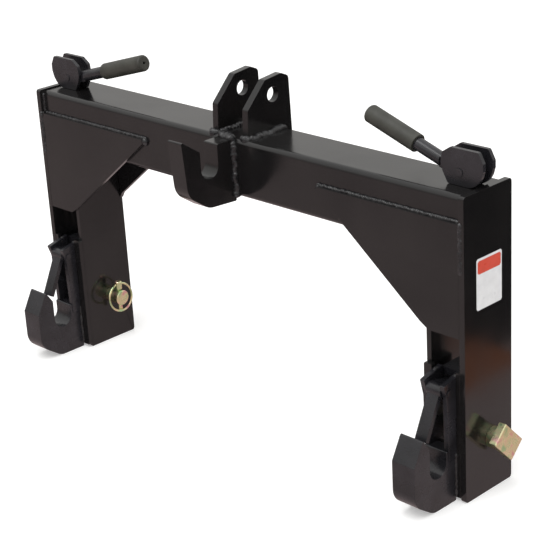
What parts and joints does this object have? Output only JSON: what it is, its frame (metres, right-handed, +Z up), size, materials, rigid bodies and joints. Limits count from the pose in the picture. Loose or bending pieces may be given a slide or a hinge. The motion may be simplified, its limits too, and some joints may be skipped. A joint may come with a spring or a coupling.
{
  "type": "three-point quick hitch",
  "caption": "Black welded three-point quick hitch with a top hook, latched lower hooks, cam levers and hitch pins.",
  "frame": {"origin": "on the ground under the middle of the hitch", "axes": "+X along the crossbar to the right seen from the implement, +Y towards the tractor, +Z up"},
  "size_m": [0.8196, 0.1717, 0.4539],
  "materials": {
    "black_paint": "gloss black paint",
    "zinc_steel": "zinc plated",
    "yellow_zinc": "yellow zinc, iridescent",
    "grip_rubber": "satin rubber"
  },
  "bodies": {
    "frame": {"crossbar": "black_paint", "top_hook": "black_paint", "outer_plate_right": "black_paint", "inner_plate_right": "black_paint", "front_gusset_right": "black_paint", "rear_gusset_right": "black_paint", "front_web_right": "black_paint", "lower_hook_right": "black_paint", "clevis_ear_right": "black_paint", "latch_guard_inner_right": "black_paint", "latch_guard_outer_right": "black_paint", "latch_pivot_pin_right": "zinc_steel", "return_spring_right": "zinc_steel", "spring_washer_right": "zinc_steel", "rod_bushes_right": "zinc_steel", "outer_plate_left": "black_paint", "inner_plate_left": "black_paint", "front_gusset_left": "black_paint", "rear_gusset_left": "black_paint", "front_web_left": "black_paint", "lower_hook_left": "black_paint", "clevis_ear_left": "black_paint", "latch_guard_inner_left": "black_paint", "latch_guard_outer_left": "black_paint", "latch_pivot_pin_left": "zinc_steel", "return_spring_left": "zinc_steel", "spring_washer_left": "zinc_steel", "rod_bushes_left": "zinc_steel"},
    "latch_right": {"latch_right": "black_paint"},
    "rod_right": {"pull_rod_right": "zinc_steel", "rod_fork_right": "black_paint", "link_pin_right": "zinc_steel", "spring_collar_right": "zinc_steel", "collar_pin_right": "zinc_steel"},
    "lever_right": {"lever_rod_right": "black_paint", "lever_grip_right": "grip_rubber", "cam_front_right": "black_paint", "cam_rear_right": "black_paint", "cam_pin_right": "zinc_steel"},
    "hitch_pin_right": {"hitch_pin_right": "yellow_zinc", "linch_pin_right": "yellow_zinc"},
    "linch_ring_right": {"linch_ring_right": "zinc_steel"},
    "latch_left": {"latch_left": "black_paint"},
    "rod_left": {"pull_rod_left": "zinc_steel", "rod_fork_left": "black_paint", "link_pin_left": "zinc_steel", "spring_collar_left": "zinc_steel", "collar_pin_left": "zinc_steel"},
    "lever_left": {"lever_rod_left": "black_paint", "lever_grip_left": "grip_rubber", "cam_front_left": "black_paint", "cam_rear_left": "black_paint", "cam_pin_left": "zinc_steel"},
    "hitch_pin_left": {"hitch_pin_left": "yellow_zinc", "linch_pin_left": "yellow_zinc"},
    "linch_ring_left": {"linch_ring_left": "zinc_steel"}
  },
  "joints": [
    {"name": "rod_slide_right", "type": "slide", "parent": "frame", "child": "rod_right", "axis": [0, 0, 1], "range_m": [0, 0.018], "deforming": ["return_spring_right"]},
    {"name": "lever_hinge_right", "type": "hinge", "parent": "rod_right", "child": "lever_right", "pos_m": [0.353, 0.03843, 0.398], "axis": [0, 1, 0], "range_deg": [0, 90]},
    {"name": "latch_hinge_right", "type": "hinge", "parent": "frame", "child": "latch_right", "pos_m": [0.353, -0.01802, 0.146], "axis": [1, 0, 0], "range_deg": [0, 27]},
    {"name": "hitch_pin_turn_right", "type": "hinge", "parent": "frame", "child": "hitch_pin_right", "pos_m": [0.353, 0.04398, 0.07], "axis": [1, 0, 0], "continuous": true},
    {"name": "linch_ring_hinge_right", "type": "hinge", "parent": "hitch_pin_right", "child": "linch_ring_right", "pos_m": [0.305, 0.04398, 0.0905], "axis": [0, 1, 0], "range_deg": [0, 100]},
    {"name": "rod_slide_left", "type": "slide", "parent": "frame", "child": "rod_left", "axis": [0, 0, 1], "range_m": [0, 0.018], "deforming": ["return_spring_left"]},
    {"name": "lever_hinge_left", "type": "hinge", "parent": "rod_left", "child": "lever_left", "pos_m": [-0.353, 0.03843, 0.398], "axis": [0, -1, 0], "range_deg": [0, 90]},
    {"name": "latch_hinge_left", "type": "hinge", "parent": "frame", "child": "latch_left", "pos_m": [-0.353, -0.01802, 0.146], "axis": [1, 0, 0], "range_deg": [0, 27]},
    {"name": "hitch_pin_turn_left", "type": "hinge", "parent": "frame", "child": "hitch_pin_left", "pos_m": [-0.353, 0.04398, 0.07], "axis": [1, 0, 0], "continuous": true},
    {"name": "linch_ring_hinge_left", "type": "hinge", "parent": "hitch_pin_left", "child": "linch_ring_left", "pos_m": [-0.305, 0.04398, 0.0905], "axis": [0, -1, 0], "range_deg": [0, 100]}
  ],
  "couplings": [
    {"joint": "rod_slide_right", "follows": "lever_hinge_right", "m_per_rad": 0.011459},
    {"joint": "latch_hinge_right", "follows": "lever_hinge_right", "ratio": 0.3},
    {"joint": "rod_slide_left", "follows": "lever_hinge_left", "m_per_rad": 0.011459},
    {"joint": "latch_hinge_left", "follows": "lever_hinge_left", "ratio": 0.3}
  ]
}
